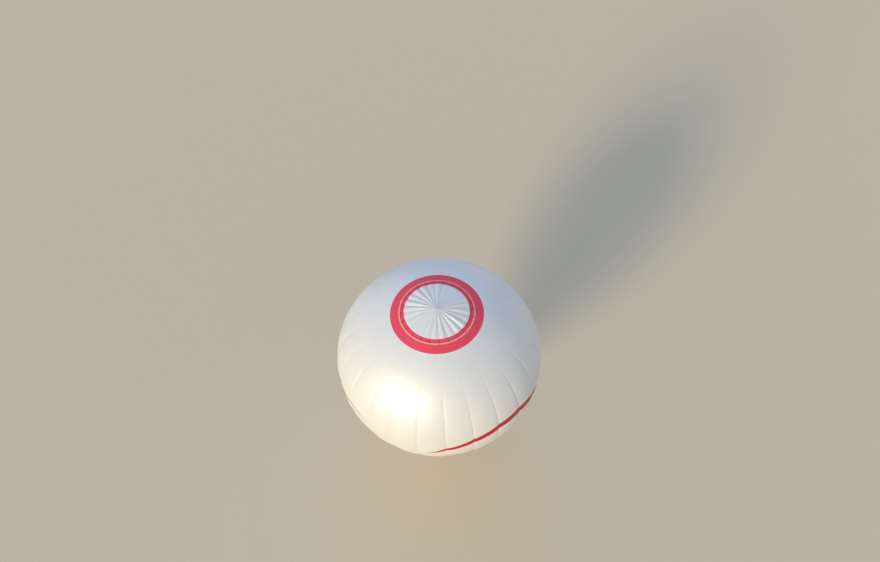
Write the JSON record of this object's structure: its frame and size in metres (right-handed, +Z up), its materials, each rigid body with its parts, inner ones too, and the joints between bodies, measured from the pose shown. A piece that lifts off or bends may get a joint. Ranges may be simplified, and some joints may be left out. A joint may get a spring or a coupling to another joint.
{
  "type": "hot air balloon",
  "caption": "Gored hot air balloon envelope with parachute vent, flying wires, load frame, gimballed double burner and open wicker basket.",
  "frame": {"origin": "on the envelope's axis at the height of its widest ring, where the lift acts", "axes": "+Z up along the envelope's axis, -Y the front, +X the right"},
  "size_m": [16.9606, 16.9606, 21.581],
  "materials": {
    "white_fabric": "coated ripstop, satin",
    "red_fabric": "coated ripstop, satin",
    "load_tape": "woven webbing",
    "aluminium": "satin",
    "stainless_steel": "brushed",
    "brass": "machined",
    "wicker": "woven willow, varnished",
    "leather": "stitched hide",
    "plywood": "oiled",
    "padded_sleeve": "padded cover"
  },
  "bodies": {
    "root": {"gore_01": "white_fabric", "gore_02": "white_fabric", "gore_03": "white_fabric", "gore_04": "white_fabric", "gore_05": "white_fabric", "gore_06": "white_fabric", "gore_07": "white_fabric", "gore_08": "white_fabric", "gore_09": "white_fabric", "gore_10": "white_fabric", "gore_11": "white_fabric", "gore_12": "white_fabric", "gore_13": "white_fabric", "gore_14": "white_fabric", "gore_15": "white_fabric", "gore_16": "white_fabric", "gore_17": "white_fabric", "gore_18": "white_fabric", "gore_19": "white_fabric", "gore_20": "white_fabric", "gore_21": "white_fabric", "gore_22": "white_fabric", "gore_23": "white_fabric", "gore_24": "white_fabric", "crown_band": "red_fabric", "mouth_band": "white_fabric", "scoop": "red_fabric", "crown_tapes": "load_tape", "crown_ring": "aluminium", "flying_wires_front_left": "stainless_steel", "flying_wires_front_right": "stainless_steel", "flying_wires_rear_right": "stainless_steel", "flying_wires_rear_left": "stainless_steel", "load_frame": "stainless_steel", "upright_front_left": "padded_sleeve", "upright_front_right": "padded_sleeve", "upright_rear_right": "padded_sleeve", "upright_rear_left": "padded_sleeve", "basket_walls": "wicker", "basket_rim": "leather", "basket_floor": "plywood", "runner_front": "plywood", "runner_rear": "plywood", "fuel_cylinder_front_left": "aluminium", "fuel_cylinder_front_right": "aluminium", "fuel_cylinder_rear_right": "aluminium", "fuel_cylinder_rear_left": "aluminium"},
    "vent": {"vent_panel": "white_fabric"},
    "gimbal": {"gimbal_ring": "stainless_steel"},
    "burner": {"burner_base": "stainless_steel", "burner_can_left": "stainless_steel", "burner_can_right": "stainless_steel", "burner_coil_left": "stainless_steel", "burner_coil_right": "stainless_steel", "burner_valve_block_left": "brass", "burner_valve_block_right": "brass"}
  },
  "joints": [
    {"name": "vent_slide", "type": "slide", "parent": "root", "child": "vent", "axis": [0, 0, -1], "range_m": [0, 1.5], "stiffness_N_per_m": 60, "springref_m": -2.5},
    {"name": "gimbal_tilt", "type": "hinge", "parent": "root", "child": "gimbal", "pos_m": [0, 0, -12.5], "axis": [1, 0, 0], "range_deg": [-15, 15]},
    {"name": "burner_tilt", "type": "hinge", "parent": "gimbal", "child": "burner", "pos_m": [0, 0, -12.5], "axis": [0, 1, 0], "range_deg": [-15, 15]}
  ]
}
